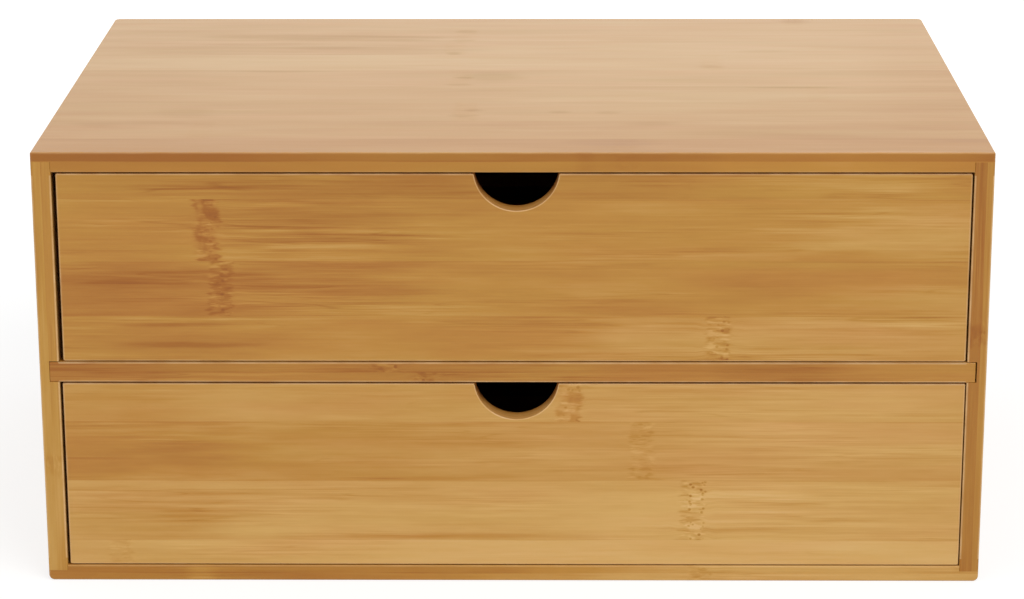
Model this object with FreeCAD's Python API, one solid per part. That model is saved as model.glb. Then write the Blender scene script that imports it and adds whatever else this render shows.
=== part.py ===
# Two-drawer desktop chest in laminated bamboo board: a glued carcass and two loose wooden drawers.
# Millimetres. X runs left to right, Y runs front to back and Z runs up.
# The origin is the centre of the base, on the surface that the chest stands on.
import FreeCAD
import Part
import math
import os
from collections import namedtuple
from FreeCAD import Vector

# Carcass
width = 340.0
depth = 235.0
side_thickness = 7.0
top_thickness = 7.2
bottom_thickness = 5.8
shelf_thickness = 7.5
upper_bay_height = 70.25
lower_bay_height = 70.45

# Half-lap corners: what is left of the top and the bottom where they cap the ends of the sides
top_lap = 3.5
bottom_lap = 3.8

# Housing of the shelf in the sides, which shows on the front edges
housing_depth = 3.5
housing_height_play = 0.25
shelf_end_play = 0.45

# Back panel in its rabbet
back_thickness = 3.5
back_lap = 3.0
back_edge_play = 0.3

# Sanded edges of the carcass
foot_radius = 2.0
rear_corner_radius = 2.5
outer_arris = 0.5
inner_arris = 0.4

# Drawers: each is loose in its bay by its play on both sides, and stands a little to the right
upper_side_play = 1.05
upper_shift = 0.5
lower_side_play = 0.6
lower_shift = 0.3
front_recess = 0.5
front_thickness = 8.0
front_foot_play = 0.2
front_head_play = 0.5
front_corner_radius = 0.8
front_arris = 0.5
wall_thickness = 6.5
wall_headroom = 8.0
wall_lip_radius = 1.2
runner_radius = 0.6

# Finger notch: the round cutter goes this far down, with its centre a little above the top edge
notch_radius = 15.2
notch_depth = 13.6
notch_shift = 1.1
notch_corner_radius = 0.8

# Joints of the drawer box
front_rabbet_depth = 4.0
rear_rabbet_depth = 3.25
floor_thickness = 3.0
floor_groove_depth = 3.0
floor_groove_height = 4.0
floor_edge_play = 0.4

# Brads of flat wire, as a nail gun drives them
brad_thickness = 1.05
brad_width = 1.25
brad_head_width = 2.0
brad_head_height = 0.6
drawer_brad_length = 18.0
back_brad_length = 12.0
drawer_brad_height_shares = (0.22, 0.5, 0.78)
back_brad_width_shares = (-0.8, -0.27, 0.27, 0.8)

# Headings of the brads, in degrees about Z
heading_right = 0.0
heading_left = 180.0
heading_forwards = -90.0

# Every cut runs this far past the wood, and planes are matched to within the second value
overrun = 5.0
plane_tolerance = 0.001

# Places that follow from the sizes above
half_width = width / 2
front_y = -depth / 2
rear_y = depth / 2
inner_half_width = half_width - side_thickness
lower_bay_floor = bottom_thickness
shelf_underside = lower_bay_floor + lower_bay_height
upper_bay_floor = shelf_underside + shelf_thickness
top_underside = upper_bay_floor + upper_bay_height
height = top_underside + top_thickness
back_face_y = rear_y - back_thickness
front_face_y = front_y + front_recess
front_back_y = front_face_y + front_thickness
wall_front_y = front_back_y - front_rabbet_depth
drawer_back_y = back_face_y - wall_thickness
notch_half_chord = math.sqrt(notch_radius**2 - (notch_radius - notch_depth) ** 2)

# The bays: floor height, clear height, and the side play and shift of the drawer in each
Bay = namedtuple("Bay", "floor height side_play shift")
bays = {
    "upper": Bay(upper_bay_floor, upper_bay_height, upper_side_play, upper_shift),
    "lower": Bay(lower_bay_floor, lower_bay_height, lower_side_play, lower_shift),
}


def board(x_span, y_span, z_span):
    """A square-edged board between the two places given on each axis."""
    lows, highs = zip(x_span, y_span, z_span)
    sizes = [high - low for low, high in zip(lows, highs)]
    return Part.makeBox(*sizes, Vector(*lows))


def edges_on(shape, x=None, y=None, z=None):
    """The edges that lie wholly on each of the planes named."""

    def lies_on(low, high, plane):
        if plane is None:
            return True
        return abs(low - plane) < plane_tolerance and abs(high - plane) < plane_tolerance

    found = []
    for edge in shape.Edges:
        box = edge.BoundBox
        on_x = lies_on(box.XMin, box.XMax, x)
        on_y = lies_on(box.YMin, box.YMax, y)
        on_z = lies_on(box.ZMin, box.ZMax, z)
        if on_x and on_y and on_z:
            found.append(edge)
    return found


def mirrored_pair(shape):
    """A shape for the left, and its mirror image for the right."""
    return shape, shape.mirror(Vector(0, 0, 0), Vector(1, 0, 0))


# Outline and cuts that the boards of the carcass share


def sanded_outline():
    """The outside of the glued carcass after sanding, to which each outer board is trimmed."""
    block = board((-half_width, half_width), (front_y, rear_y), (0, height))
    uprights = edges_on(block, x=-half_width, y=rear_y) + edges_on(block, x=half_width, y=rear_y)
    block = block.makeFillet(rear_corner_radius, uprights)
    feet = edges_on(block, x=-half_width, z=0) + edges_on(block, x=half_width, z=0)
    block = block.makeFillet(foot_radius, feet)
    rim = edges_on(block, y=front_y) + edges_on(block, z=height)
    return block.makeFillet(outer_arris, rim)


def back_seat():
    """The rabbet that takes the back panel, cut past the rear of the carcass."""
    half = inner_half_width + back_lap
    return board(
        (-half, half),
        (back_face_y, rear_y + overrun),
        (bottom_thickness - back_lap, top_underside + back_lap),
    )


def full_width_blank(z_span):
    """A slab wider and deeper than the carcass, from which the top or the bottom is cut."""
    half = half_width + overrun
    return board((-half, half), (front_y - overrun, rear_y + overrun), z_span)


def lapped(slab, z_span):
    """The slab with both ends cut away over the given heights, where the sides stand."""
    recess = board(
        (-half_width - 2 * overrun, -inner_half_width),
        (front_y - 2 * overrun, rear_y + 2 * overrun),
        z_span,
    )
    left, right = mirrored_pair(recess)
    return slab.cut(left).cut(right)


# Boards of the carcass


def top_panel():
    """The top, which caps both sides with a half lap and holds the back panel's upper edge."""
    slab = full_width_blank((top_underside, height + overrun))
    slab = lapped(slab, (top_underside - overrun, height - top_lap))
    panel = slab.cut(back_seat()).common(sanded_outline())
    return panel.makeFillet(inner_arris, edges_on(panel, y=front_y, z=top_underside))


def bottom_panel():
    """The bottom, which carries both sides on its laps and stands on the surface below."""
    slab = full_width_blank((-overrun, bottom_thickness))
    slab = lapped(slab, (bottom_lap, bottom_thickness + overrun))
    panel = slab.cut(back_seat()).common(sanded_outline())
    return panel.makeFillet(inner_arris, edges_on(panel, y=front_y, z=bottom_thickness))


def shelf_housing():
    """The groove across the left side that takes the end of the shelf."""
    return board(
        (-inner_half_width - housing_depth, -inner_half_width + overrun),
        (front_y - overrun, rear_y + overrun),
        (shelf_underside, upper_bay_floor + housing_height_play),
    )


def side_panels():
    """The left and right sides, housed for the shelf and rabbeted for the back panel."""
    slab = board(
        (-half_width - overrun, -inner_half_width),
        (front_y - overrun, rear_y + overrun),
        (bottom_lap, height - top_lap),
    )
    panel = slab.cut(shelf_housing()).cut(back_seat()).common(sanded_outline())
    panel = panel.makeFillet(inner_arris, edges_on(panel, x=-inner_half_width, y=front_y))
    return mirrored_pair(panel)


def shelf():
    """The shelf between the bays, hard up in the left housing and just short in the right one."""
    housed_half = inner_half_width + housing_depth
    blank = board(
        (-housed_half, housed_half - shelf_end_play),
        (front_y, back_face_y),
        (shelf_underside, upper_bay_floor),
    )
    return blank.makeFillet(inner_arris, edges_on(blank, y=front_y))


def back_panel():
    """The thin back, flush with the rear edges and a little loose all round in its rabbet."""
    half = inner_half_width + back_lap - back_edge_play
    low = bottom_thickness - back_lap + back_edge_play
    high = top_underside + back_lap - back_edge_play
    blank = board((-half, half), (back_face_y, rear_y), (low, high))
    return blank.makeFillet(inner_arris, edges_on(blank, y=rear_y))


# Brads


def brad(head_place, heading, length):
    """One brad, with the flat of its head at head_place and driven in at heading degrees from +X."""
    thickness_span = (-brad_thickness / 2, brad_thickness / 2)
    head_span = (-brad_head_width / 2, brad_head_width / 2)
    head = board((0, brad_head_height), thickness_span, head_span)
    shank = board((0, length), thickness_span, (-brad_width / 2, brad_width / 2))
    one = head.fuse(shank).removeSplitter()
    one.rotate(Vector(0, 0, 0), Vector(0, 0, 1), heading)
    return one.translated(head_place)


def back_brads():
    """The brads that hold the back panel, driven forwards into the four boards around it."""
    edge_x = inner_half_width + back_lap / 2
    places = []
    for share in back_brad_width_shares:
        for edge_z in (bottom_thickness - back_lap / 2, top_underside + back_lap / 2):
            places.append((share * inner_half_width, edge_z))
    for bay in bays.values():
        for x in (-edge_x, edge_x):
            places.append((x, bay.floor + bay.height / 2))
    return [brad(Vector(x, rear_y, z), heading_forwards, back_brad_length) for x, z in places]


def drawer_brads(bay):
    """The brads through both walls of one drawer, into its front and into its back board."""
    half = drawer_half_width(bay)
    brads = []
    for x, heading in ((-half, heading_right), (half, heading_left)):
        for y in (wall_front_y + front_rabbet_depth / 2, drawer_back_y + wall_thickness / 2):
            for share in drawer_brad_height_shares:
                place = Vector(x, y, bay.floor + share * wall_height(bay))
                brads.append(brad(place, heading, drawer_brad_length))
    return brads


def drilled(shape, brads):
    """The shape with a tight hole for each brad that reaches it."""
    for one in brads:
        if shape.BoundBox.intersect(one.BoundBox):
            shape = shape.cut(one)
    return shape


# Boards of a drawer, each made about the middle of the chest


def drawer_half_width(bay):
    """Half the width of the drawer, over its walls."""
    return inner_half_width - bay.side_play


def inside_half_width(bay):
    """Half the width inside the drawer, between its walls."""
    return drawer_half_width(bay) - wall_thickness


def wall_height(bay):
    """The height of the drawer's walls, which leaves headroom in the bay."""
    return bay.height - wall_headroom


def floor_groove(bay):
    """The slot round the inside of a drawer that takes the edges of its floor."""
    half = inside_half_width(bay) + floor_groove_depth
    low = bay.floor + floor_groove_height
    return board(
        (-half, half),
        (front_back_y - floor_groove_depth, drawer_back_y + floor_groove_depth),
        (low, low + floor_thickness),
    )


def notched_plate(half, low, high):
    """The face of a drawer front: a rectangle with eased corners and the finger notch."""
    plate = board((-half, half), (front_face_y, front_back_y), (low, high))
    centre = Vector(notch_shift, front_face_y - overrun, high + notch_radius - notch_depth)
    cut_length = front_thickness + 2 * overrun
    plate = plate.cut(Part.makeCylinder(notch_radius, cut_length, centre, Vector(0, 1, 0)))
    lips = []
    for x in (notch_shift - notch_half_chord, notch_shift + notch_half_chord):
        lips += edges_on(plate, x=x, z=high)
    plate = plate.makeFillet(notch_corner_radius, lips)
    corners = []
    for x in (-half, half):
        corners += edges_on(plate, x=x, z=low) + edges_on(plate, x=x, z=high)
    return plate.makeFillet(front_corner_radius, corners)


def drawer_front(bay):
    """A drawer front, notched for a finger, with both ends rabbeted for the walls."""
    low = bay.floor + front_foot_play
    high = bay.floor + bay.height - front_head_play
    plate = notched_plate(drawer_half_width(bay), low, high)
    faces = edges_on(plate, y=front_face_y) + edges_on(plate, y=front_back_y)
    plate = plate.makeFillet(front_arris, faces)
    rabbet = board(
        (-drawer_half_width(bay) - overrun, -inside_half_width(bay)),
        (wall_front_y, front_back_y + overrun),
        (low - overrun, high + overrun),
    )
    left, right = mirrored_pair(rabbet)
    return plate.cut(left).cut(right).cut(floor_groove(bay))


def drawer_walls(bay):
    """The left and right walls of a drawer, which slide on the floor of the bay."""
    outer_x = -drawer_half_width(bay)
    inner_x = -inside_half_width(bay)
    lip_z = bay.floor + wall_height(bay)
    wall = board((outer_x, inner_x), (wall_front_y, back_face_y), (bay.floor, lip_z))
    lip = edges_on(wall, x=outer_x, z=lip_z) + edges_on(wall, x=inner_x, z=lip_z)
    wall = wall.makeFillet(wall_lip_radius, lip)
    wall = wall.makeFillet(runner_radius, edges_on(wall, x=outer_x, z=bay.floor))
    rear_rabbet = board(
        (inner_x - rear_rabbet_depth, inner_x + overrun),
        (drawer_back_y, back_face_y + overrun),
        (bay.floor - overrun, lip_z + overrun),
    )
    return mirrored_pair(wall.cut(rear_rabbet).cut(floor_groove(bay)))


def drawer_back(bay):
    """The back board of a drawer, let into the rabbets of both walls."""
    half = inside_half_width(bay) + rear_rabbet_depth
    lip_z = bay.floor + wall_height(bay)
    back = board((-half, half), (drawer_back_y, back_face_y), (bay.floor, lip_z))
    lip = edges_on(back, y=drawer_back_y, z=lip_z) + edges_on(back, y=back_face_y, z=lip_z)
    return back.makeFillet(wall_lip_radius, lip).cut(floor_groove(bay))


def drawer_floor(bay):
    """The thin floor of a drawer, a little loose in its grooves."""
    reach = floor_groove_depth - floor_edge_play
    half = inside_half_width(bay) + reach
    low = bay.floor + floor_groove_height
    return board(
        (-half, half),
        (front_back_y - reach, drawer_back_y + reach),
        (low, low + floor_thickness),
    )


# Assembly


def carcass():
    """Every piece of the carcass by name."""
    left, right = side_panels()
    brads = back_brads()
    boards = {
        "top_panel": top_panel(),
        "bottom_panel": bottom_panel(),
        "left_side": left,
        "right_side": right,
        "shelf": shelf(),
        "back_panel": back_panel(),
    }
    pieces = {name: drilled(shape, brads) for name, shape in boards.items()}
    pieces["back_panel_brads"] = Part.makeCompound(brads)
    return pieces


def drawer(name, bay):
    """Every piece of one drawer by name, moved to where it stands in its bay."""
    left, right = drawer_walls(bay)
    brads = drawer_brads(bay)
    boards = {
        "front": drawer_front(bay),
        "left_wall": left,
        "right_wall": right,
        "back": drawer_back(bay),
        "floor": drawer_floor(bay),
    }
    pieces = {part: drilled(shape, brads) for part, shape in boards.items()}
    pieces["brads"] = Part.makeCompound(brads)
    shift = Vector(bay.shift, 0, 0)
    return {f"{name}_drawer_{part}": shape.translated(shift) for part, shape in pieces.items()}


def main():
    """Writes one STEP file for each named piece."""
    pieces = carcass()
    for name, bay in bays.items():
        pieces.update(drawer(name, bay))
    os.makedirs("parts", exist_ok=True)
    for name, shape in pieces.items():
        shape.exportStep(f"parts/{name}.step")
        solids = len(shape.Solids)
        print(f"{name}: {solids} solid(s), {shape.Volume:.0f} mm3, valid {shape.isValid()}")


main()
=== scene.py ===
"""Dresses the desktop chest of drawers: lacquered bamboo boards, plain drawer boxes and wire brads."""

import logging
import math
import random
from dataclasses import dataclass, field
from enum import Enum

import bpy
from mathutils import Matrix, Vector


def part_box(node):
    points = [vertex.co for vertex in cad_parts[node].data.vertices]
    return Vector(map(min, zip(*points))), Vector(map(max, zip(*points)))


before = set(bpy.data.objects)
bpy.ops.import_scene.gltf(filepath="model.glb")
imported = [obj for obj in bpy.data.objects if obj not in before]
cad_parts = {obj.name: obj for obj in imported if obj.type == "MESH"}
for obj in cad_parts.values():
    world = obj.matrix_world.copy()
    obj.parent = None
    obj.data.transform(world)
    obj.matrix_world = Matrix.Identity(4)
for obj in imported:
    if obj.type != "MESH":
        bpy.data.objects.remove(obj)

MILLIMETRES = 1000.0

# The sockets of a Mix node that blends colours.
MIX_AMOUNT, MIX_UNDER, MIX_OVER, MIXED = 0, 6, 7, 2

# Colour ramps serve as tables and hold 0 to 1 only: tones and warmths of 0 are stored as the middle,
# and a layer's number as a tenth of it.
MIDDLE = 0.5
LAYER_CODE = 10.0

Colour = tuple[float, float, float]
Point = tuple[float, float, float]
Ramp = tuple[float, float]
Span = tuple[float, float]
Hues = tuple[tuple[float, Colour], ...]
Stops = list[tuple[float, tuple[float, ...]]]

# How squarely a face has to look along or across the grain to count as end grain or as a board's edge.
SQUARE_END: Ramp = (0.6, 0.9)
SQUARE_EDGE: Ramp = (0.4, 0.9)

log = logging.getLogger("desktop_chest")


class Lay(Enum):
    """How a board lies: the axes that run along its grain, across it and through its thickness."""

    FLAT_WIDE = (0, 1, 2)
    UPRIGHT_WIDE = (0, 2, 1)
    UPRIGHT_TALL = (2, 1, 0)
    UPRIGHT_DEEP = (1, 2, 0)

    @property
    def along(self) -> int:
        """The axis that the fibres follow."""
        return self.value[0]

    @property
    def across(self) -> int:
        """The axis that the strips are counted on."""
        return self.value[1]

    @property
    def through(self) -> int:
        """The axis of the thickness."""
        return self.value[2]


class ShowFace(Enum):
    """The side of a board's thickness that its best face is on."""

    LOW = "low"
    HIGH = "high"


class Blend(Enum):
    """How one colour is laid over another."""

    MIX = "MIX"
    MULTIPLY = "MULTIPLY"


@dataclass(frozen=True)
class Signal:
    """A value that varies over a surface, which adds and multiplies like a number."""

    sheet: "NodeSheet"
    socket: bpy.types.NodeSocket

    def __add__(self, other: "Number") -> "Signal":
        """The sum with other."""
        return self.sheet.sum_up("ADD", self, other)

    def __radd__(self, other: float) -> "Signal":
        """The sum with a plain number."""
        return self.sheet.sum_up("ADD", self, other)

    def __sub__(self, other: "Number") -> "Signal":
        """What is left after other is taken away."""
        return self.sheet.sum_up("SUBTRACT", self, other)

    def __rsub__(self, other: float) -> "Signal":
        """What is left of a plain number."""
        return self.sheet.sum_up("SUBTRACT", other, self)

    def __mul__(self, other: "Number") -> "Signal":
        """The product with other."""
        return self.sheet.sum_up("MULTIPLY", self, other)

    def size(self) -> "Signal":
        """The value without its sign."""
        return self.sheet.sum_up("ABSOLUTE", self)

    def least(self, other: "Number") -> "Signal":
        """The smaller of the two."""
        return self.sheet.sum_up("MINIMUM", self, other)

    def most(self, other: "Number") -> "Signal":
        """The larger of the two."""
        return self.sheet.sum_up("MAXIMUM", self, other)

    def rise(self, start: float, end: float, to: float = 1.0) -> "Signal":
        """A smooth ramp over the value, which is 0 at start and reaches to at end."""
        inputs = {"Value": self, "From Min": start, "From Max": end, "To Min": 0.0, "To Max": to}
        return self.sheet.read("ShaderNodeMapRange", "Result", inputs, interpolation_type="SMOOTHSTEP")


Number = Signal | float
Paint = Signal | Colour
Inputs = dict[str | int, Signal | float | Colour]


class NodeSheet:
    """A node tree, written down one step at a time."""

    def __init__(self, tree: bpy.types.NodeTree) -> None:
        """Goes on with a tree as it is."""
        self.tree = tree

    def node(self, kind: str, inputs: Inputs | None = None, **settings: str) -> bpy.types.Node:
        """Adds a node.

        Args:
            kind: the node's type name.
            inputs: what goes into its sockets, by their names or numbers.
            settings: the node's properties.

        Returns:
            The new node.
        """
        node = self.tree.nodes.new(kind)
        for name, value in settings.items():
            setattr(node, name, value)
        for socket, value in (inputs or {}).items():
            self.wire(value, node.inputs[socket])
        return node

    def read(self, kind: str, output: str | int, inputs: Inputs | None = None, **settings: str) -> Signal:
        """Adds a node, as node() does, and reads one of its outputs."""
        return Signal(self, self.node(kind, inputs, **settings).outputs[output])

    def wire(self, value: Number | Colour, socket: bpy.types.NodeSocket) -> None:
        """Wires a signal to a socket, or sets a plain value on it.

        Args:
            value: the signal, number or colour.
            socket: the input that takes it.
        """
        if isinstance(value, Signal):
            self.tree.links.new(value.socket, socket)
        elif isinstance(value, tuple):
            socket.default_value = (*value, 1.0) if socket.type == "RGBA" else value
        else:
            socket.default_value = value

    def sum_up(self, operation: str, *values: Number) -> Signal:
        """Does the named arithmetic on the values, in their order."""
        return self.read("ShaderNodeMath", 0, dict(enumerate(values)), operation=operation)

    def vector(self, operation: str, *values: Paint) -> Signal:
        """Does the named arithmetic on places or directions, in their order."""
        output = "Value" if operation == "LENGTH" else "Vector"
        return self.read("ShaderNodeVectorMath", output, dict(enumerate(values)), operation=operation)

    def scaled(self, place: Signal, factor: float) -> Signal:
        """A place, enlarged by factor."""
        return self.vector("MULTIPLY", place, (factor, factor, factor))

    def split(self, place: Signal) -> tuple[Signal, Signal, Signal]:
        """The three numbers of a place."""
        node = self.node("ShaderNodeSeparateXYZ", {0: place})
        return tuple(Signal(self, socket) for socket in node.outputs)

    def joined(self, x: Number, y: Number, z: Number) -> Signal:
        """A place from three numbers."""
        return self.read("ShaderNodeCombineXYZ", 0, {0: x, 1: y, 2: z})

    def noise(self, place: Signal, detail: float = 2.0, roughness: float = 0.5) -> Signal:
        """Soft noise, about one unit across and 0.5 on average, with detail finer layers."""
        inputs = {"Vector": place, "Scale": 1.0, "Detail": detail, "Roughness": roughness}
        return self.read("ShaderNodeTexNoise", "Fac", inputs)

    def pores(self, place: Signal) -> Signal:
        """The distance to the nearest of many scattered points, about one unit apart."""
        return self.read("ShaderNodeTexVoronoi", "Distance", {"Vector": place, "Scale": 1.0})

    def chance(self, place: Signal) -> Signal:
        """A random colour that is the same wherever place is the same."""
        return self.read("ShaderNodeTexWhiteNoise", "Color", {"Vector": place}, noise_dimensions="3D")

    def ramp(self, value: Signal, stops: Stops, run: str) -> bpy.types.Node:
        """Looks a value up in a colour ramp.

        Args:
            value: the value, from 0 to 1.
            stops: the place and the four numbers of each stop.
            run: how the ramp goes from stop to stop.

        Returns:
            The ramp's node.
        """
        node = self.node("ShaderNodeValToRGB", {0: value})
        ramp = node.color_ramp
        ramp.interpolation = run
        while len(ramp.elements) < len(stops):
            ramp.elements.new(1.0)
        for element, (at, numbers) in zip(ramp.elements, stops):
            element.position = at
            element.color = numbers
        return node

    def steps(self, value: Signal, stops: Stops) -> tuple[Signal, Signal, Signal, Signal]:
        """The four numbers that a value has in a table with sharp steps."""
        node = self.ramp(value, stops, "CONSTANT")
        return (*self.split(Signal(self, node.outputs["Color"])), Signal(self, node.outputs["Alpha"]))

    def shade(self, value: Signal, hues: Hues) -> Signal:
        """The colour that a value has in a smooth run of hues."""
        node = self.ramp(value, [(at, (*colour, 1.0)) for at, colour in hues], "LINEAR")
        return Signal(self, node.outputs["Color"])

    def lay(self, how: Blend, amount: Number, under: Paint, over: Paint) -> Signal:
        """Lays one colour over another, of which the amount from 0 to 1 shows."""
        inputs = {MIX_AMOUNT: amount, MIX_UNDER: under, MIX_OVER: over}
        return self.read("ShaderNodeMix", MIXED, inputs, data_type="RGBA", blend_type=how.value)

    def relief(self, height: Signal, depth: float) -> Signal:
        """Turns a height from 0 to 1 into a bumpy surface, which is depth metres deep."""
        return self.read("ShaderNodeBump", "Normal", {"Height": height, "Strength": 1.0, "Distance": depth})

    def place(self) -> Signal:
        """The place on the piece at rest, in millimetres."""
        return self.scaled(self.read("ShaderNodeTexCoord", "Object"), MILLIMETRES)

    def switched(self, switch: Signal, off: Signal, on: Signal) -> Signal:
        """The second of two shaders where the switch is 1, and the first elsewhere."""
        return self.read("ShaderNodeMixShader", 0, {0: switch, 1: off, 2: on})


class FinishSheet(NodeSheet):
    """The node tree of a new material."""

    def __init__(self, name: str) -> None:
        """Starts a material with a shader and nothing wired to it.

        Args:
            name: the material's name.
        """
        self.material = bpy.data.materials.new(name)
        self.material.use_nodes = True
        super().__init__(self.material.node_tree)
        self.shader = self.tree.nodes["Principled BSDF"]

    def set_shader(self, **values: Number | Colour) -> None:
        """Wires or sets the shader's sockets.

        Args:
            values: each socket's value, by its name in lower case with underscores.
        """
        for name, value in values.items():
            socket = next(s for s in self.shader.inputs if s.name.lower().replace(" ", "_") == name)
            self.wire(value, socket)


@dataclass(frozen=True)
class Strip:
    """One bamboo strip: where it starts and has its knuckle, in millimetres of the frame, and its looks."""

    start: float
    tone: float
    knuckle: float
    marked: float = 0.5
    figure: float = 0.5
    warmth: float = 0.0
    freckles: float = 0.3
    flushed: float = 0.4


@dataclass(frozen=True)
class Layer:
    """One layer of strips, counted from the show face, and how its edge differs from the face."""

    start: float
    tone: float
    warmth: float = 0.0


@dataclass(frozen=True)
class Cloud:
    """A soft patch, darker, paler or redder than the rest. It ends with its strip unless it crosses."""

    along: float
    across: float
    length: float
    height: float
    tone: float
    warmth: float = 0.0
    crosses: bool = False


@dataclass(frozen=True)
class Notch:
    """The round finger notch in a board's edge, in millimetres, and how much painted light lightens its wall.
    """

    along: float
    across: float
    radius: float
    # Painted light on the notch's wall.
    pale: float


@dataclass(frozen=True)
class Board:
    """A bamboo board: what shows on its best face, and how far its ends are let into other boards."""

    node: str
    lay: Lay
    show: ShowFace
    strips: tuple[Strip, ...]
    layers: tuple[Layer, ...] = (Layer(0.0, -0.08), Layer(3.5, 0.0))
    clouds: tuple[Cloud, ...] = ()
    fineness: float = 1.0
    # How pale the edges are painted: partly wear, partly a painted highlight.
    wear_and_highlight_amount: float = 1.0
    # How strongly a painted shade darkens the board's edges, standing for the shade in the gaps between
    # parts.
    painted_gap_shade: float = 0.0
    housed: float = 0.0
    notch: Notch | None = None

    @property
    def calm(self) -> float:
        """How much of the soft bands and the relief is left on a board with finer grain."""
        return 0.5 + self.fineness * 0.5

    def strip_run(self, across: float, open_end: float = 50.0) -> Span:
        """Finds the strip at a place on the face.

        Args:
            across: the place, across the grain.
            open_end: how far beyond the place the first and last strips go on.

        Returns:
            Where the strip starts and ends.
        """
        starts = [strip.start for strip in self.strips]
        begun = [start for start in starts if start <= across]
        coming = [start for start in starts if start > across]
        return begun[-1] if begun else across - open_end, coming[0] if coming else across + open_end


def corners(node: str) -> tuple[Vector, Vector]:
    """A solid's lowest and highest corner at rest, in millimetres."""
    low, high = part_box(node)
    return Vector(low) * MILLIMETRES, Vector(high) * MILLIMETRES


@dataclass(frozen=True)
class Tint:
    """How much paler and how much redder something makes the wood."""

    tone: Number = 0.0
    warmth: Number = 0.0

    def __add__(self, other: "Tint") -> "Tint":
        """Both tints, one over the other."""
        return Tint(self.tone + other.tone, self.warmth + other.warmth)


@dataclass(frozen=True)
class Pattern:
    """A pattern in the wood: its repeats per millimetre along, across and into it, and its finer layers."""

    along: float
    across: float
    deep: float
    detail: float = 2.0


@dataclass(frozen=True)
class Spot:
    """The place that is being painted, measured along, across and into its board. Millimetres."""

    sheet: FinishSheet
    board: Board
    low: Vector
    high: Vector
    place: Signal
    parts: tuple[Signal, Signal, Signal]
    along: Signal
    across: Signal
    deep: Signal
    end_grain: Signal
    edge_face: Signal

    @staticmethod
    def on(sheet: FinishSheet, board: Board) -> "Spot":
        """Measures the place on a board.

        Args:
            sheet: the material's tree.
            board: the board that is painted.

        Returns:
            The place.
        """
        low, high = corners(board.node)
        lay = board.lay
        place = sheet.place()
        parts = sheet.split(place)
        facing = sheet.split(sheet.read("ShaderNodeTexCoord", "Normal"))
        through = parts[lay.through]
        deep = through - low[lay.through] if board.show is ShowFace.LOW else high[lay.through] - through
        end_grain = facing[lay.along].size().rise(*SQUARE_END)
        edge_face = facing[lay.across].size().rise(*SQUARE_EDGE)
        along, across = parts[lay.along], parts[lay.across]
        return Spot(sheet, board, low, high, place, parts, along, across, deep, end_grain, edge_face)

    def counted(self, pattern: Pattern) -> Signal:
        """The place, counted in a pattern's repeats."""
        along, across = self.along * pattern.along, self.across * pattern.across
        return self.sheet.joined(along, across, self.deep * pattern.deep)

    def noise(self, pattern: Pattern, offset: Signal | None = None) -> Signal:
        """Soft noise in a pattern.

        Args:
            pattern: how the noise repeats.
            offset: what shifts it, so that each strip has its own.

        Returns:
            The noise, about 0.5 on average.
        """
        place = self.counted(pattern)
        if offset:
            place = self.sheet.vector("ADD", place, offset)
        return self.sheet.noise(place, pattern.detail)

    def beyond(self, along: float, across: float, length: float = 2.0, height: float = 2.0) -> Signal:
        """How far off a point of the face the place is, in halves of a patch's length and height."""
        sideways, upwards = (self.along - along) * (2.0 / length), (self.across - across) * (2.0 / height)
        return self.sheet.vector("LENGTH", self.sheet.joined(sideways, upwards, 0.0))

    def off_rim(self, notch: Notch) -> Signal:
        """How far outside a finger notch's rim the place is."""
        return self.beyond(notch.along, notch.across) - notch.radius


@dataclass(frozen=True)
class StripSpot:
    """What the strip at the painted place is like."""

    tint: Tint
    knuckle: Signal
    marked: Signal
    figure: Signal
    freckles: Signal
    flushed: Signal
    offset: Signal


@dataclass(frozen=True)
class Streak:
    """A kind of streak in the grain: its length and thickness in millimetres, and its strength."""

    length: float
    height: float
    detail: float = 1.0
    tone: float = 0.0
    warmth: float = 0.0


@dataclass(frozen=True)
class Fibres:
    """How the fibres run past the painted place, and how it lies to their knuckle. Millimetres."""

    spot: Spot
    strip: StripSpot
    across: Signal
    beside: Signal
    core: Signal
    lee: Signal

    def streaks(self, kind: Streak) -> Signal:
        """Noise drawn out along the fibres.

        Args:
            kind: how long, thick and detailed its features are.

        Returns:
            The noise, 0 on average.
        """
        sheet = self.spot.sheet
        thin = 1.0 / kind.height
        place = sheet.joined(self.spot.along * (1.0 / kind.length), self.across * thin, self.spot.deep * thin)
        return sheet.noise(sheet.vector("ADD", place, self.strip.offset), kind.detail) - 0.5


BAMBOO_HUES: Hues = (
    (0.0, (0.23, 0.065, 0.003)),
    (0.25, (0.35, 0.13, 0.006)),
    (0.5, (0.495, 0.25, 0.034)),
    (0.75, (0.65, 0.39, 0.115)),
    (1.0, (0.77, 0.51, 0.22)),
)
# The top's hues, bluer at the pale end: a painted sheen of the white surround on the top.
SHEEN_PAINTED_HUES: Hues = BAMBOO_HUES[:2] + (
    (0.5, (0.495, 0.25, 0.03)),
    (0.75, (0.65, 0.39, 0.14)),
    (1.0, (0.77, 0.51, 0.26)),
)


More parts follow.
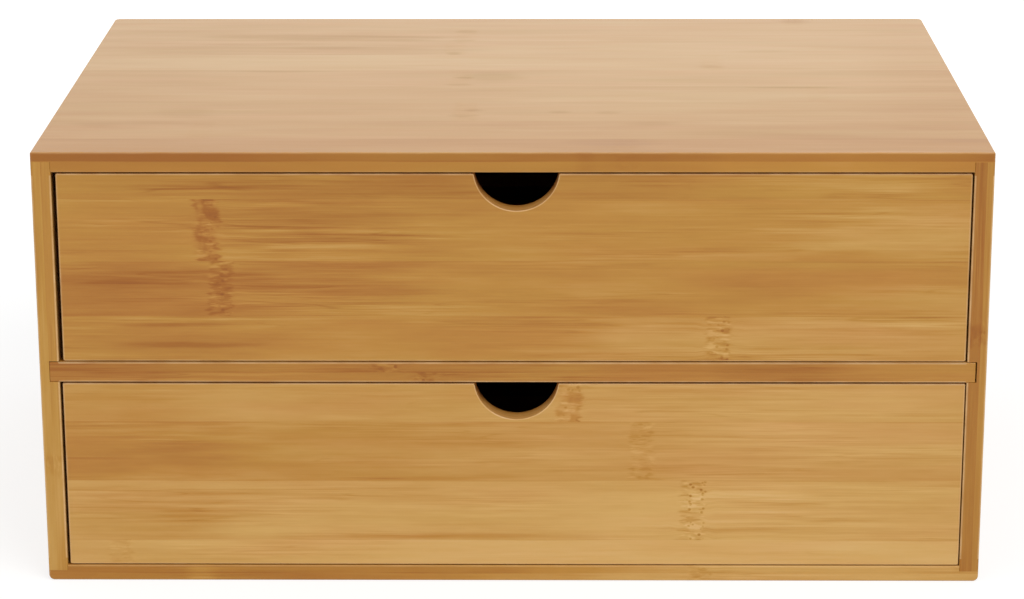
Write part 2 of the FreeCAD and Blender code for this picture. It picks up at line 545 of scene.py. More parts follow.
@dataclass(frozen=True)
class LacqueredBamboo:
    """Laminated bamboo strips under a satin lacquer. Lengths are in millimetres."""

    name: str
    hues: Hues = BAMBOO_HUES
    flush: Colour = (1.0, 0.86, 0.94)
    even_warmth: float = 0.4
    # Pale edges: partly wear of the lacquer, partly a painted highlight along the arrises.
    wear_and_highlight: Colour = (0.72, 0.46, 0.21)
    # A painted shade: a thin dark brown line along the board's edges, standing for the shade in the gaps
    # between parts.
    gap_shade_colour: Colour = (0.13, 0.04, 0.002)
    pore: Colour = (0.2, 0.07, 0.015)
    roughness: float = 0.36
    coat: float = 0.15
    coat_roughness: float = 0.25
    ior: float = 1.45
    relief_depth: float = 0.00004

    # What runs along the fibres.
    lines: Streak = Streak(60.0, 1.15, 1.5, tone=0.37, warmth=0.3)
    hairs: Streak = Streak(20.0, 0.5, tone=0.22)
    busy_patches: Streak = Streak(65.0, 7.0)
    smudges: Streak = Streak(75.0, 11.0, 2.0, tone=0.23, warmth=0.4)
    bands: Streak = Streak(70.0, 3.8, tone=0.085)
    threads: Streak = Streak(60.0, 2.0, 0.5, tone=0.07)
    flecks: Streak = Streak(9.0, 1.2, tone=0.06)
    blushes: Streak = Streak(60.0, 8.0, 1.5, warmth=0.75)

    # What makes the knuckles, patches, glue lines and end grain uneven.
    wobble: Pattern = Pattern(0.0, 0.12, 0.2)
    teeth: Pattern = Pattern(0.0, 0.8, 0.8, 1.0)
    swirls: Pattern = Pattern(0.11, 0.22, 0.3, 1.0)
    blotches: Pattern = Pattern(0.13, 0.16, 0.3)
    dashes: Pattern = Pattern(0.2, 0.85, 0.6, 1.5)
    freckles: Pattern = Pattern(0.42, 0.5, 0.4)
    ragged: Pattern = Pattern(0.02, 0.16, 0.0, 3.0)
    glue_patches: Pattern = Pattern(0.015, 0.1, 0.1, 1.0)
    fibre_bundles: Pattern = Pattern(0.05, 1.25, 1.25)

    # How the strips differ, and where each mark starts and is full.
    layer_slip: float = 9.3
    last_strip: float = 30.0
    tone_luck: float = 7.0
    knuckle_luck: float = 350.0
    offset_spread: float = 300.0
    wobble_reach: float = 6.0
    teeth_reach: float = 5.0
    knuckle_core: Ramp = (5.2, 3.0)
    lee_start: Ramp = (1.0, 7.0)
    lee_end: Ramp = (35.0, 110.0)
    swirl_reach: Ramp = (13.0, 2.0)
    jog: float = 0.8
    cloud_rag: float = 1.6
    cloud_rim: Ramp = (1.3, 0.3)
    strip_rim: Ramp = (-0.1, 0.1)
    glue_line: Ramp = (0.35, 0.1)
    bundle_rim: Ramp = (0.42, 0.2)
    # How the pale edges, partly wear and partly a painted highlight, are spread, and where they start and are
    # full.
    wear_and_highlight_repeats: float = 0.11
    wear_and_highlight_arris: Ramp = (0.8, 0.15)
    wear_and_highlight_rim: Ramp = (0.55, 0.1)
    # Where the painted gap shade along the edges starts and is full.
    gap_shade_band: Ramp = (0.32, 0.14)

    def paint(self, board: Board) -> bpy.types.Material:
        """Makes the material of one board.

        Args:
            board: the board with its strips.

        Returns:
            The material.
        """
        sheet = FinishSheet(f"{self.name}_{board.node}")
        spot = Spot.on(sheet, board)
        layer_number, layer = self.layer_at(spot)
        fibres = self.fibres(spot, self.strip_at(spot, layer_number))
        lines, hairs = fibres.streaks(self.lines), fibres.streaks(self.hairs)
        marks = self.knuckle_marks(fibres)
        tint = fibres.strip.tint + layer + self.grain(fibres, lines, hairs) + marks
        tint = tint + self.clouds(spot) + self.seams(spot) + self.notch_light_and_edges(spot)

        colour = sheet.shade(tint.tone + MIDDLE - spot.end_grain * 0.16, self.hues)
        flushed = (tint.warmth + self.even_warmth).rise(0.0, 1.0)
        colour = sheet.lay(Blend.MULTIPLY, flushed, colour, self.flush)
        bundles = sheet.pores(spot.counted(self.fibre_bundles)).rise(*self.bundle_rim)
        colour = sheet.lay(Blend.MIX, bundles * spot.end_grain * 0.55, colour, self.pore)
        to_edge = self.to_edge(spot)
        # Pale edges: partly wear, partly a painted highlight along the arrises and the notch's rim.
        wear_and_highlight = self.arris(spot, to_edge)
        patchy = sheet.noise(sheet.scaled(spot.place, self.wear_and_highlight_repeats), 3.0).rise(0.3, 0.7)
        colour = sheet.lay(Blend.MIX, wear_and_highlight * (0.45 + patchy * 0.5) * board.wear_and_highlight_amount, colour, self.wear_and_highlight)
        # Painted shade: a dark line along the edges, for the shade in the gaps between the parts.
        if board.painted_gap_shade:
            colour = sheet.lay(Blend.MIX, to_edge.rise(*self.gap_shade_band) * board.painted_gap_shade, colour, self.gap_shade_colour)

        height = 0.5 + (lines + hairs) * (0.5 * board.calm) + marks.tone * 0.8
        hidden = spot.deep.rise(0.4, 1.2)
        if board.notch is None:
            hidden = hidden * (1.0 - spot.edge_face)
        gloss = self.roughness + lines * (-0.15 * board.calm)
        gloss = gloss + fibres.core * 0.08 + wear_and_highlight * 0.1 + hidden * 0.5
        sheet.set_shader(
            base_color=colour,
            roughness=gloss,
            normal=sheet.relief(height, self.relief_depth),
            ior=self.ior,
            coat_weight=self.coat,
            coat_roughness=self.coat_roughness,
        )
        return sheet.material

    def layer_at(self, spot: Spot) -> tuple[Signal, Tint]:
        """Looks up the layer that a place is in.

        Args:
            spot: the place.

        Returns:
            The layer's number and how its edge is tinted.
        """
        through = spot.board.lay.through
        thickness = spot.high[through] - spot.low[through]
        stops = []
        for number, layer in enumerate(spot.board.layers):
            row = (layer.tone + MIDDLE, number / LAYER_CODE, layer.warmth + MIDDLE, 1.0)
            stops.append((layer.start / thickness, row))
        tone, number, warmth, _ = spot.sheet.steps(spot.deep * (1.0 / thickness), stops)
        tint = Tint((tone - MIDDLE) * spot.edge_face, (warmth - MIDDLE) * spot.edge_face)
        return number * LAYER_CODE, tint

    def strip_at(self, spot: Spot, layer_number: Signal) -> StripSpot:
        """Looks up the strip that a place is in.

        Args:
            spot: the place.
            layer_number: the layer's number, because the layers' strips don't line up.

        Returns:
            What the strip is like.
        """
        sheet, strips, lay = spot.sheet, spot.board.strips, spot.board.lay
        start, reach = strips[0].start, strips[-1].start + self.last_strip - strips[0].start
        near, run = spot.low[lay.along], spot.high[lay.along] - spot.low[lay.along]
        colours, figures = [], []
        for strip in strips:
            at = (strip.start - start) / reach
            knuckle = (strip.knuckle - near) / run
            colours.append((at, (strip.tone + MIDDLE, strip.warmth + MIDDLE, knuckle, strip.marked)))
            figures.append((at, (strip.figure, strip.freckles, strip.flushed, 1.0)))
        where = (spot.across + layer_number * self.layer_slip - start) * (1.0 / reach)
        tone, warmth, knuckle, marked = sheet.steps(where, colours)
        figure, freckles, flushed, _ = sheet.steps(where, figures)
        place = sheet.joined(tone * self.tone_luck, knuckle * self.knuckle_luck, layer_number)
        offset = sheet.scaled(sheet.chance(place), self.offset_spread)
        tint = Tint(tone - MIDDLE, warmth - MIDDLE)
        return StripSpot(tint, knuckle * run + near, marked, figure, freckles, flushed, offset)

    def fibres(self, spot: Spot, strip: StripSpot) -> Fibres:
        """Finds the strip's knuckle, a narrow column across the fibres, and bends the fibres round it.

        Args:
            spot: the place.
            strip: the strip there.

        Returns:
            The fibres' run.
        """
        wobble, teeth = spot.noise(self.wobble) - 0.5, spot.noise(self.teeth) - 0.5
        beside = spot.along - strip.knuckle + wobble * self.wobble_reach + teeth * self.teeth_reach
        core = beside.size().rise(*self.knuckle_core) * strip.marked
        lee = beside.rise(*self.lee_start) * (1.0 - beside.rise(*self.lee_end)) * strip.marked
        swirl = spot.noise(self.swirls) - 0.5
        swirl_strength = strip.freckles * 5.0 + 1.5
        bend = beside.size().rise(*self.swirl_reach) * strip.marked * swirl * swirl_strength
        jog = beside.rise(-self.jog, self.jog) * strip.marked * self.jog
        return Fibres(spot, strip, spot.across + bend + jog, beside, core, lee)

    def grain(self, fibres: Fibres, lines: Signal, hairs: Signal) -> Tint:
        """Draws the fibres: soft bands, clusters of fine lines and smooth zones between them.

        Args:
            fibres: the fibres' run.
            lines: the fine lines.
            hairs: the finest ones.

        Returns:
            The grain's tint.
        """
        board = fibres.spot.board
        busy = fibres.streaks(self.busy_patches).rise(-0.06, 0.12)
        lively = (0.3 + busy * 0.75) * (0.4 + fibres.strip.figure * 0.75) + fibres.lee * 0.4
        threads = fibres.streaks(self.threads).size().rise(0.03, 0.0) * busy
        fine = lines * self.lines.tone + hairs * self.hairs.tone - threads * self.threads.tone
        fine = (fine * lively + fibres.streaks(self.flecks) * self.flecks.tone) * board.fineness
        smudge = fibres.streaks(self.smudges)
        bands = fibres.streaks(self.bands) * (0.03 + lively * self.bands.tone) * board.calm
        blush = fibres.streaks(self.blushes) * self.blushes.warmth - smudge * self.smudges.warmth
        warmth = blush - lines * lively * (self.lines.warmth * board.fineness)
        return Tint(smudge * self.smudges.tone + bands + fine, warmth)

    def knuckle_marks(self, fibres: Fibres) -> Tint:
        """Draws the knuckle: blotches, broken fibres and freckles.

        Args:
            fibres: the fibres' run.

        Returns:
            The knuckle's tint.
        """
        spot, strip, core = fibres.spot, fibres.strip, fibres.core
        blotch = spot.noise(self.blotches, strip.offset).rise(0.45, 0.6)
        dashes = spot.noise(self.dashes, strip.offset)
        pale = dashes.rise(0.53, 0.66)
        dark = dashes.rise(0.48, 0.34) * (1.2 - strip.flushed * 0.8)
        freckle = spot.sheet.pores(spot.counted(self.freckles))
        strewn = (fibres.beside - 1.5).size().rise(4.0, 2.0) * strip.freckles * strip.marked
        dots = freckle.rise(0.36, 0.12) * strewn
        halo = freckle.rise(0.6, 0.36) * strewn
        blush = blotch * strip.flushed * core
        tone = (pale * 0.14 - dark * 0.13 - 0.03) * core - blush * 0.15 + halo * 0.03 - dots * 0.36
        return Tint(tone, blush * 0.2 + (strip.flushed - 0.2) * core * 0.2)

    def clouds(self, spot: Spot) -> Tint:
        """Adds up a board's soft patches.

        Args:
            spot: the place.

        Returns:
            How they tint the place.
        """
        total = Tint()
        if not spot.board.clouds:
            return total
        ragged = spot.noise(self.ragged) - 0.5
        for cloud in spot.board.clouds:
            off_middle = spot.beyond(cloud.along, cloud.across, cloud.length, cloud.height)
            cover = (off_middle + ragged * self.cloud_rag).rise(*self.cloud_rim)
            if not cloud.crosses:
                start, end = spot.board.strip_run(cloud.across)
                cover = cover * (spot.across - start).rise(*self.strip_rim)
                cover = cover * (end - spot.across).rise(*self.strip_rim)
            total = Tint(cover * cloud.tone, cover * cloud.warmth) + total
        return total

    def seams(self, spot: Spot) -> Tint:
        """Draws the glue lines between strips and between layers, which show here and there.

        Args:
            spot: the place.

        Returns:
            How the lines tint the place.
        """
        lines = spot.across * 0.0
        for strip in spot.board.strips[1:]:
            lines = lines.most((spot.across - strip.start).size().rise(*self.glue_line))
        for layer in spot.board.layers[1:]:
            lines = lines.most((spot.deep - layer.start).size().rise(*self.glue_line) * spot.edge_face)
        lines = lines * spot.noise(self.glue_patches).rise(0.4, 0.65)
        return Tint(lines * -0.09, lines * 0.1)

    def notch_light_and_edges(self, spot: Spot) -> Tint:
        """Browns the edges of a board with a finger notch, and lightens the notch's wall with painted light
        that fades into painted shade deeper in the notch.

        Args:
            spot: the place.

        Returns:
            How the sawn edges are tinted.
        """
        notch = spot.board.notch
        if notch is None:
            return Tint()
        edge = spot.edge_face.most(spot.end_grain)
        # Painted light on the notch's wall, less of it deeper in, where painted shade takes over.
        wall = spot.off_rim(notch).rise(0.3, 0.1) * spot.deep.rise(0.3, 0.7)
        pale = notch.pale - spot.deep.rise(1.5, 7.0) * 0.16
        return Tint(wall * pale - edge * 0.14, edge.most(wall) * 0.3)

    def to_edge(self, spot: Spot) -> Signal:
        """Measures how far the place is from the board's nearest edge that isn't let into another board.

        Args:
            spot: the place.

        Returns:
            The distance.
        """
        reach = []
        for part, start, end in zip(spot.parts, spot.low, spot.high):
            reach.append((end - start) * 0.5 - (part - (start + end) * 0.5).size())
        nearer, farther = reach[0].least(reach[1]), reach[0].most(reach[1])
        distance = nearer.most(farther.least(reach[2]))
        housed = spot.board.housed
        if housed:
            distance = distance + reach[spot.board.lay.along].rise(housed + 0.5, housed)
        return distance

    def arris(self, spot: Spot, to_edge: Signal) -> Signal:
        """Finds the board's edges and the notch's rim, which are painted pale: partly wear of the lacquer,
        partly a painted highlight.

        Args:
            spot: the place.
            to_edge: how far it is from the nearest edge.

        Returns:
            1 on the edges, 0 on the faces.
        """
        wear_and_highlight = to_edge.rise(*self.wear_and_highlight_arris)
        notch = spot.board.notch
        if notch is None:
            return wear_and_highlight
        return wear_and_highlight.most(spot.off_rim(notch).size().most(spot.deep).rise(*self.wear_and_highlight_rim))


@dataclass(frozen=True)
class DrawnSteel:
    """Bright wire, drawn lengthwise, with a stamped head."""

    name: str = "drawn_steel"
    bright: Colour = (0.56, 0.55, 0.53)
    dull: Colour = (0.3, 0.28, 0.25)
    scratches: Point = (9.0, 2.0, 9.0)
    stains: float = 1.3
    relief_depth: float = 0.00002

    def paint(self) -> bpy.types.Material:
        """Makes the material.

        Returns:
            The material.
        """
        sheet = FinishSheet(self.name)
        place = sheet.place()
        scratches = sheet.noise(sheet.vector("MULTIPLY", place, self.scratches), 3.0, 0.6)
        stains = sheet.noise(sheet.scaled(place, self.stains), 3.0)
        sheet.set_shader(
            base_color=sheet.lay(Blend.MIX, stains.rise(0.4, 0.75), self.bright, self.dull),
            metallic=1.0,
            roughness=scratches * 0.3 + 0.22,
            normal=sheet.relief(scratches, self.relief_depth),
        )
        return sheet.material


LACQUERED = LacqueredBamboo("lacquered_bamboo")
# The top's copy of the lacquer, with a painted sheen: bluer where pale, and less blue where redder, where the
# sheen is weaker.
SHEEN_PAINTED = LacqueredBamboo("sunned_bamboo", hues=SHEEN_PAINTED_HUES, flush=(1.0, 0.86, 0.8))
SANDED = LacqueredBamboo("sanded_bamboo", roughness=0.55, coat=0.0)
STEEL = DrawnSteel()


@dataclass
class Dresser:
    """Puts materials on the solids, and says so."""

    dressed: list[str] = field(default_factory=list)

    def dress(self, node: str, material: bpy.types.Material) -> None:
        """Gives a solid its material.

        Args:
            node: the solid's name.
            material: the material for all of it.
        """
        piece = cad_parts[node]
        slots = piece.material_slots
        if not slots:
            piece.data.materials.append(material)
        for slot in slots:
            slot.material = material
        self.dressed.append(node)
        log.info("%s is dressed in %s", node, material.name)


# Places on the chest and the reach of its boards along their grain, in millimetres of the frame.
STRIP_WIDTH = 22.0
REAR_EDGE = 117.5
FRONT_BAND = -117.0
BAND_HEIGHT = 40.0
WIDE_SPAN: Span = (-150.0, 150.0)
UPRIGHT_SPAN: Span = (10.0, 150.0)
DEEP_SPAN: Span = (-100.0, 100.0)


def plain_strips(start: float, end: float, span: Span, seed: int) -> tuple[Strip, ...]:
    """Picks strips for a board that has no marks of its own.

    Args:
        start: where the first strip begins, across the grain.
        end: where the board ends.
        span: the board's reach along the grain, in which the knuckles fall.
        seed: what makes this board differ from the next.

    Returns:
        The strips, in order.
    """
    luck = random.Random(seed)
    strips = []
    at = start - luck.uniform(0.0, 0.6) * STRIP_WIDTH
    while at < end:
        knuckle, tone = luck.uniform(*span), luck.uniform(-0.08, 0.08)
        strips.append(Strip(at, tone, knuckle, luck.uniform(0.3, 1.0), luck.uniform(0.3, 0.7)))
        at += STRIP_WIDTH
    return tuple(strips)


def band(along: float, length: float, tone: float, warmth: float = 0.0, crosses: bool = False) -> Cloud:
    """A soft patch on the front edge of a board."""
    return Cloud(along, FRONT_BAND, length, BAND_HEIGHT, tone, warmth, crosses)


@dataclass(frozen=True)
class Carcass:
    """The glued box: top, bottom, two sides, the shelf and the nailed-on back. Millimetres."""

    front_strip: float = -118.0
    second_strip: float = -95.5
    back_end: float = 161.0

    def behind(self, span: Span, seed: int) -> tuple[Strip, ...]:
        """The plain strips behind the one on a board's front edge."""
        return plain_strips(self.second_strip, REAR_EDGE, span, seed)

    def top(self) -> Board:
        """The top board, with its strips from front to rear.

        Returns:
            The board.
        """
        strips = (
            Strip(-117.5, 0.04, 40.0, 0.1, 0.4, 0.5),
            Strip(-97.0, 0.1, -113.0, 0.1, 0.4, 0.2),
            Strip(-70.0, 0.12, -18.0, 0.2, 0.4, 0.1),
            Strip(-40.0, 0.15, 115.0, 0.1, 0.5, 0.1),
            Strip(-12.5, 0.17, -21.0, 0.15, 0.4, 0.1),
            Strip(16.0, 0.23, 77.0, 0.15, 0.5, 0.0),
            Strip(45.0, 0.24, -25.0, 0.15, 0.4, 0.0),
            Strip(71.0, 0.24, -21.0, 0.15, 0.4, 0.05),
            Strip(94.0, 0.26, 115.0, 0.1, 0.4, 0.05),
        )
        clouds = (
            Cloud(-72.0, 79.0, 90.0, 16.0, -0.18, 0.1),
            Cloud(-90.0, 56.0, 140.0, 28.0, -0.11, 0.1),
            Cloud(-80.0, 59.0, 40.0, 7.0, -0.08, 0.1),
            Cloud(-90.0, 32.0, 180.0, 40.0, 0.04, -0.25),
            Cloud(-90.0, 15.0, 50.0, 4.0, -0.09),
            Cloud(-8.0, 5.0, 24.0, 20.0, -0.1, -0.1),
            Cloud(26.0, -117.5, 9.0, 4.0, -0.07),
            Cloud(-120.0, -117.5, 120.0, 6.0, -0.03, 0.1),
            Cloud(0.0, -117.5, 110.0, 6.0, 0.0, -0.3),
            Cloud(125.0, -117.5, 110.0, 6.0, 0.05, 0.1),
            Cloud(116.0, 112.0, 14.0, 14.0, -0.12, 0.1),
            Cloud(52.0, -73.0, 22.0, 8.0, -0.06),
            Cloud(-152.0, -76.0, 18.0, 8.0, -0.05),
            Cloud(-20.0, 3.0, 8.0, 4.0, -0.14),
            Cloud(-22.0, -9.0, 10.0, 3.0, -0.1),
            Cloud(-25.0, 46.0, 6.0, 9.0, -0.12),
            Cloud(-21.0, 91.0, 9.0, 6.0, -0.1),
            Cloud(-22.0, 73.0, 10.0, 4.0, -0.08),
            Cloud(-15.0, -52.0, 9.0, 5.0, -0.1),
            Cloud(-19.0, -61.0, 12.0, 5.0, -0.09),
            Cloud(17.0, -55.0, 9.0, 5.0, -0.09),
            Cloud(35.0, -56.0, 9.0, 5.0, -0.08),
            Cloud(77.0, 23.0, 12.0, 8.0, -0.08, 0.1),
            Cloud(108.0, -14.0, 40.0, 4.0, -0.16),
            Cloud(100.0, 52.0, 26.0, 7.0, -0.08),
            Cloud(-122.0, -57.0, 22.0, 16.0, -0.05),
            Cloud(36.0, -104.0, 32.0, 20.0, -0.07),
            Cloud(80.0, -26.0, 110.0, 30.0, -0.03, -0.2),
            Cloud(30.0, -35.0, 120.0, 8.0, 0.05, -0.1),
            Cloud(115.0, -90.0, 110.0, 34.0, -0.06),
            Cloud(110.0, -120.0, 150.0, 8.0, 0.1, 0.0, True),
            Cloud(70.0, 0.0, 190.0, 170.0, 0.04, -0.1, True),
            Cloud(-160.0, 20.0, 130.0, 300.0, -0.05, 0.0, True),
            Cloud(-90.0, 92.0, 180.0, 50.0, -0.05, 0.0, True),
            Cloud(165.0, 0.0, 60.0, 300.0, -0.04, 0.1, True),
        )
        layers = (Layer(0.0, -0.27, -0.3), Layer(3.15, -0.14, -0.3))
        return Board("top_panel", Lay.FLAT_WIDE, ShowFace.HIGH, strips, layers, clouds, 0.15, wear_and_highlight_amount=0.25)

    def bottom(self) -> Board:
        """The bottom board, paler at its right end.

        Returns:
            The board.
        """
        front = Strip(self.front_strip, -0.01, 68.0, 0.6, 0.6, 0.0, 0.2, 0.1)
        strips = (front, *self.behind(WIDE_SPAN, 11))
        layers = (Layer(0.0, 0.0), Layer(2.9, -0.04))
        clouds = (band(110.0, 230.0, 0.19, -0.1), band(-110.0, 200.0, -0.1, 0.05), band(-114.0, 14.0, 0.1))
        return Board("bottom_panel", Lay.FLAT_WIDE, ShowFace.LOW, strips, layers, clouds, wear_and_highlight_amount=0.3)

    def shelf(self) -> Board:
        """The shelf between the bays.

        Returns:
            The board.
        """
        strips = (
            Strip(self.front_strip, -0.04, -46.5, 0.9, 0.8, 0.1, 0.6, 0.2),
            Strip(-112.0, -0.04, -32.0, 0.9, 0.8, 0.1, 0.6, 0.2),
            *self.behind(WIDE_SPAN, 12),
        )
        layers = (Layer(0.0, -0.1), Layer(3.75, -0.06))
        clouds = (
            band(-145.0, 60.0, -0.07, 0.3, True),
            band(-85.0, 70.0, 0.03, 0.1, True),
            band(50.0, 60.0, -0.01, 0.3, True),
            band(95.0, 50.0, -0.06, 0.1, True),
            band(145.0, 70.0, 0.08, 0.1, True),
        )
        return Board("shelf", Lay.FLAT_WIDE, ShowFace.HIGH, strips, layers, clouds, painted_gap_shade=0.7, housed=3.0)

    def left(self) -> Board:
        """The left side, with its grain upright.

        Returns:
            The board.
        """
        front = Strip(self.front_strip, 0.06, 44.0, 0.5, 0.4, -0.25, 0.1, 0.7)
        strips = (front, *self.behind(UPRIGHT_SPAN, 13))
        layers = (Layer(0.0, 0.01), Layer(3.5, -0.03, 0.1))
        clouds = (
            Cloud(140.0, FRONT_BAND, 120.0, 30.0, -0.07, 0.1),
            Cloud(30.0, FRONT_BAND, 70.0, 30.0, 0.02),
        )
        return Board("left_side", Lay.UPRIGHT_TALL, ShowFace.LOW, strips, layers, clouds, housed=4.5)

    def right(self) -> Board:
        """The right side, with its grain upright and a redder inner layer.

        Returns:
            The board.
        """
        front = Strip(self.front_strip, -0.02, 94.0, 0.5, 0.4, -0.1, 0.3, 0.6)
        strips = (front, *self.behind(UPRIGHT_SPAN, 14))
        layers = (Layer(0.0, -0.06), Layer(2.6, -0.16, 0.25))
        return Board("right_side", Lay.UPRIGHT_TALL, ShowFace.HIGH, strips, layers, housed=4.5)

    def back(self) -> Board:
        """The thin back.

        Returns:
            The board.
        """
        strips = plain_strips(0.0, self.back_end, WIDE_SPAN, 15)
        layers = (Layer(0.0, 0.0), Layer(1.8, -0.1))
        return Board("back_panel", Lay.UPRIGHT_WIDE, ShowFace.HIGH, strips, layers)

    def dress(self, dresser: Dresser) -> None:
        """Dresses every board and the brads of the back.

        Args:
            dresser: what puts the materials on.
        """
        # The top has its own copy of the lacquer, with a painted sheen.
        dresser.dress("top_panel", SHEEN_PAINTED.paint(self.top()))
        for board in (self.bottom(), self.shelf(), self.left(), self.right()):
            dresser.dress(board.node, LACQUERED.paint(board))
        dresser.dress("back_panel", SANDED.paint(self.back()))
        dresser.dress("back_panel_brads", STEEL.paint())


@dataclass(frozen=True)
class Drawer:
    """A loose drawer: a lacquered front with a finger notch, and a nailed box behind it. Millimetres."""

    name: str
    front_strips: tuple[Strip, ...]
    front_clouds: tuple[Cloud, ...]
    seed: int
    # How much painted light lightens the notch's wall.
    notch_wall_light: float
    notch_radius: float = 15.2
    notch_rise: float = 1.6
    notch_shift: float = 1.1

    def front(self) -> Board:
        """The drawer's front, seen from the room.

        Returns:
            The board.
        """
        node = f"{self.name}_front"
        low, high = corners(node)
        middle = (low.x + high.x) * 0.5 + self.notch_shift
        notch = Notch(middle, high.z + self.notch_rise, self.notch_radius, self.notch_wall_light)
        strips, clouds = self.front_strips, self.front_clouds
        return Board(node, Lay.UPRIGHT_WIDE, ShowFace.LOW, strips, clouds=clouds, painted_gap_shade=0.7, notch=notch)

    def box_boards(self) -> tuple[Board, ...]:
        """The boards of the drawer's box.

        Returns:
            The walls, the back and the floor.
        """
        start, end = (corner[2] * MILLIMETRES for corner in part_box(f"{self.name}_back"))
        wall = plain_strips(start, end, DEEP_SPAN, self.seed)
        rear = plain_strips(start, end, WIDE_SPAN, self.seed + 1)
        floor = plain_strips(-REAR_EDGE, REAR_EDGE, WIDE_SPAN, self.seed + 2)
        return (
            Board(f"{self.name}_left_wall", Lay.UPRIGHT_DEEP, ShowFace.LOW, wall),
            Board(f"{self.name}_right_wall", Lay.UPRIGHT_DEEP, ShowFace.HIGH, wall),
            Board(f"{self.name}_back", Lay.UPRIGHT_WIDE, ShowFace.HIGH, rear),
            Board(f"{self.name}_floor", Lay.FLAT_WIDE, ShowFace.HIGH, floor),
        )

    def dress(self, dresser: Dresser) -> None:
        """Dresses the front, the box and the brads.

        Args:
            dresser: what puts the materials on.
        """
        front = self.front()
        dresser.dress(front.node, LACQUERED.paint(front))
        for board in self.box_boards():
            dresser.dress(board.node, SANDED.paint(board))
        dresser.dress(f"{self.name}_brads", STEEL.paint())


UPPER_DRAWER = Drawer(
    "upper_drawer",
    (
        Strip(80.0, 0.02, 73.5, 1.0, 0.5, 0.05, 0.5, 0.3),
        Strip(100.6, -0.03, -104.0, 1.0, 0.5, 0.05, 0.3, 0.5),
        Strip(121.1, 0.0, -108.6, 1.0, 0.8, 0.0, 0.2, 1.0),
        Strip(143.8, -0.07, 60.0, 0.1, 0.8, -0.05),
    ),
    (
        Cloud(-155.0, 111.0, 130.0, 40.0, -0.1, 0.35),
        Cloud(-75.0, 115.0, 80.0, 16.0, -0.11, 0.3),
        Cloud(110.0, 114.0, 110.0, 12.0, -0.03, 0.2),
        Cloud(43.0, 110.0, 70.0, 16.0, 0.05),
        Cloud(140.0, 107.0, 90.0, 16.0, 0.07),
        Cloud(-45.0, 93.0, 170.0, 20.0, -0.05, 0.2),
        Cloud(-130.0, 92.0, 100.0, 24.0, -0.08, 0.1),
        Cloud(140.0, 132.0, 90.0, 24.0, 0.09, -0.1),
        Cloud(45.0, 94.0, 50.0, 16.0, 0.08, -0.1),
        Cloud(120.0, 92.0, 100.0, 20.0, 0.08, 0.05),
        Cloud(-140.0, 132.0, 70.0, 30.0, -0.04, 0.1),
        Cloud(-55.0, 136.0, 120.0, 30.0, -0.09, 0.1),
        Cloud(-62.0, 150.0, 130.0, 20.0, -0.08, 0.1),
        Cloud(120.0, 149.0, 110.0, 16.0, 0.08),
        Cloud(-120.0, 97.5, 40.0, 2.2, -0.14, 0.1),
        Cloud(-115.0, 90.0, 46.0, 2.2, -0.12, 0.1),
        Cloud(-133.0, 113.3, 40.0, 1.8, -0.12, 0.1),
    ),
    seed=31,
    notch_wall_light=0.35,
)

LOWER_DRAWER = Drawer(
    "lower_drawer",
    (
        Strip(0.0, 0.27, -143.0, 0.4, 0.1, -0.15),
        Strip(15.5, 0.15, 65.0, 1.0, 0.55, -0.1, 1.0, 0.1),
        Strip(38.5, 0.1, 46.6, 0.6, 0.4, 0.05, 0.1, 0.1),
        Strip(61.0, 0.1, 20.4, 0.9, 0.15, 0.0, 0.5, 0.9),
    ),
    (
        Cloud(-160.0, 50.0, 130.0, 50.0, -0.12, 0.2),
        Cloud(-70.0, 48.0, 170.0, 30.0, -0.08, 0.05),
        Cloud(-130.0, 27.0, 80.0, 26.0, -0.07, 0.1),
        Cloud(-145.0, 67.0, 60.0, 20.0, -0.03, 0.05),
        Cloud(-40.0, 69.0, 90.0, 14.0, -0.05, 0.05),
        Cloud(-120.0, 10.0, 140.0, 20.0, -0.09),
        Cloud(55.0, 27.0, 200.0, 30.0, 0.08, -0.05),
        Cloud(115.0, 54.0, 130.0, 30.0, 0.06),
        Cloud(110.0, 68.0, 120.0, 16.0, 0.06),
        Cloud(-20.0, 17.2, 95.0, 2.4, -0.12, 0.2),
    ),
    seed=41,
    notch_wall_light=0.19,
)


@dataclass(frozen=True)
class Viewpoint:
    """Where the photograph was taken from. Metres and degrees."""

    place: Point = (0.0122, -1.20934, 0.43199)
    pitch: float = 16.559
    yaw: float = -0.645
    roll: float = -0.142
    focal_length: float = 112.31
    sensor_width: float = 36.0
    nearest: float = 0.05
    farthest: float = 60.0

    def build(self) -> None:
        """Makes the camera and makes it the scene's own."""
        pitch, yaw, roll = (math.radians(angle) for angle in (self.pitch, self.yaw, self.roll))
        reach = math.cos(pitch)
        ahead = Vector((math.sin(yaw) * reach, math.cos(yaw) * reach, -math.sin(pitch)))
        level = Vector((math.cos(yaw), -math.sin(yaw), 0.0))
        upright = level.cross(ahead)
        right = level * math.cos(roll) + upright * math.sin(roll)
        up = upright * math.cos(roll) - level * math.sin(roll)
        data = bpy.data.cameras.new("photo_view")
        data.sensor_width = self.sensor_width
        data.lens = self.focal_length
        data.clip_start = self.nearest
        data.clip_end = self.farthest
        camera = bpy.data.objects.new("photo_view", data)
        turn = Matrix((right, up, -ahead)).transposed().to_4x4()
        camera.matrix_world = Matrix.Translation(self.place) @ turn
        bpy.context.scene.collection.objects.link(camera)
        bpy.context.scene.camera = camera


@dataclass(frozen=True)
class SoftBox:
    """A large soft studio lamp. Metres and watts."""

    name: str
    place: Point
    aim: Point
    width: float
    height: float
    power: float

    def build(self) -> None:
        """Hangs the lamp."""
        data = bpy.data.lights.new(self.name, "AREA")
        data.shape = "RECTANGLE"
        data.size = self.width
        data.size_y = self.height
        data.energy = self.power
        lamp = bpy.data.objects.new(self.name, data)
        lamp.location = self.place
        lamp.rotation_euler = (Vector(self.aim) - Vector(self.place)).to_track_quat("-Z", "Y").to_euler()
        lamp.visible_camera = False
        bpy.context.scene.collection.objects.link(lamp)


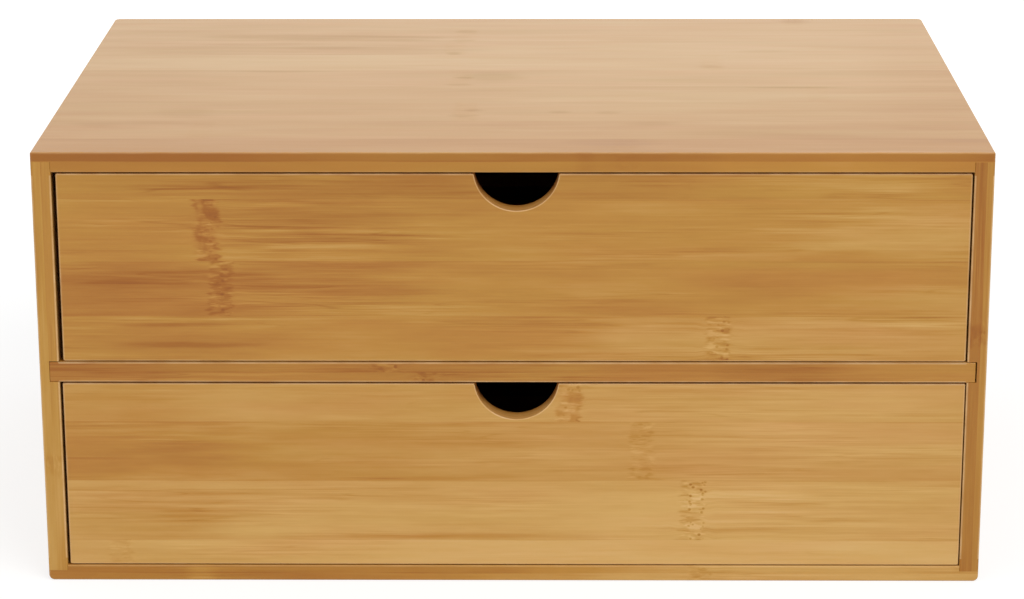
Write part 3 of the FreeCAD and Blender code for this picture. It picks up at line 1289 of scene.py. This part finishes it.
@dataclass(frozen=True)
class Studio:
    """A plain white studio: pale floor, even light all round and soft lamps. Metres."""

    floor_reach: float = 8.0
    floor_sink: float = 0.0001
    floor_colour: Colour = (0.82, 0.82, 0.82)
    floor_roughness: float = 0.9
    shadow_colour: Colour = (0.3, 0.3, 0.3)
    glow: float = 0.76
    far_glow: float = 1.0
    far_millimetres: Ramp = (300.0, 900.0)
    white: Colour = (1.0, 1.0, 1.0)
    light_all_round: float = 0.65
    lamps: tuple[SoftBox, ...] = (
        SoftBox("key_lamp", (0.8, -1.2, 1.9), (0.0, 0.0, 0.08), 1.2, 0.9, 18.0),
        SoftBox("fill_lamp", (-1.2, -1.6, 0.9), (0.0, 0.0, 0.08), 1.2, 1.0, 5.0),
    )

    def build(self) -> None:
        """Builds the floor, the light all round and the lamps."""
        self.build_floor()
        self.build_surround()
        for lamp in self.lamps:
            lamp.build()
            log.info("%s hangs at %s", lamp.name, lamp.place)

    def build_floor(self) -> None:
        """Lays the floor. It looks white to the camera, but keeps the chest's shadow."""
        reach = self.floor_reach
        mesh = bpy.data.meshes.new("studio_floor")
        rim = [(-reach, -reach, 0.0), (reach, -reach, 0.0), (reach, reach, 0.0), (-reach, reach, 0.0)]
        mesh.from_pydata(rim, [], [(0, 1, 2, 3)])
        floor = bpy.data.objects.new("studio_floor", mesh)
        floor.location.z = -self.floor_sink
        bpy.context.scene.collection.objects.link(floor)
        mesh.materials.append(self.floor_material())

    def floor_material(self) -> bpy.types.Material:
        """Mixes the floor's paint.

        Returns:
            The material.
        """
        sheet = FinishSheet("studio_paper")
        sheet.set_shader(base_color=self.floor_colour, roughness=self.floor_roughness)
        paint = Signal(sheet, sheet.shader.outputs[0])
        shadow = sheet.read("ShaderNodeBsdfDiffuse", 0, {"Color": self.shadow_colour})
        away = sheet.vector("LENGTH", sheet.place()).rise(*self.far_millimetres, self.far_glow - self.glow)
        glow = sheet.read("ShaderNodeEmission", 0, {"Strength": away + self.glow})
        seen = sheet.read("ShaderNodeAddShader", 0, {0: shadow, 1: glow})
        to_camera = sheet.read("ShaderNodeLightPath", "Is Camera Ray")
        output = sheet.tree.nodes["Material Output"].inputs["Surface"]
        sheet.wire(sheet.switched(to_camera, paint, seen), output)
        return sheet.material

    def build_surround(self) -> None:
        """Sets the world: white to the camera and in reflections, softer as light."""
        world = bpy.data.worlds.new("studio_surround")
        world.use_nodes = True
        sheet = NodeSheet(world.node_tree)
        rays = sheet.node("ShaderNodeLightPath").outputs
        names = ("Is Camera Ray", "Is Glossy Ray", "Is Transmission Ray")
        camera, glossy, through = (Signal(sheet, rays[name]) for name in names)
        light, seen = (
            sheet.read("ShaderNodeBackground", 0, {"Color": self.white, "Strength": strength})
            for strength in (self.light_all_round, 1.0)
        )
        output = sheet.tree.nodes["World Output"].inputs["Surface"]
        sheet.wire(sheet.switched(camera.most(glossy).most(through), light, seen), output)
        bpy.context.scene.world = world


def main() -> None:
    """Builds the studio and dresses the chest."""
    logging.basicConfig(level=logging.INFO, format="%(message)s")
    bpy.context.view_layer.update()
    bpy.context.scene.view_settings.view_transform = "Standard"
    Viewpoint().build()
    Studio().build()
    dresser = Dresser()
    for part in (Carcass(), UPPER_DRAWER, LOWER_DRAWER):
        part.dress(dresser)
    log.info("%d pieces are dressed", len(dresser.dressed))


if __name__ == "__main__":
    main()
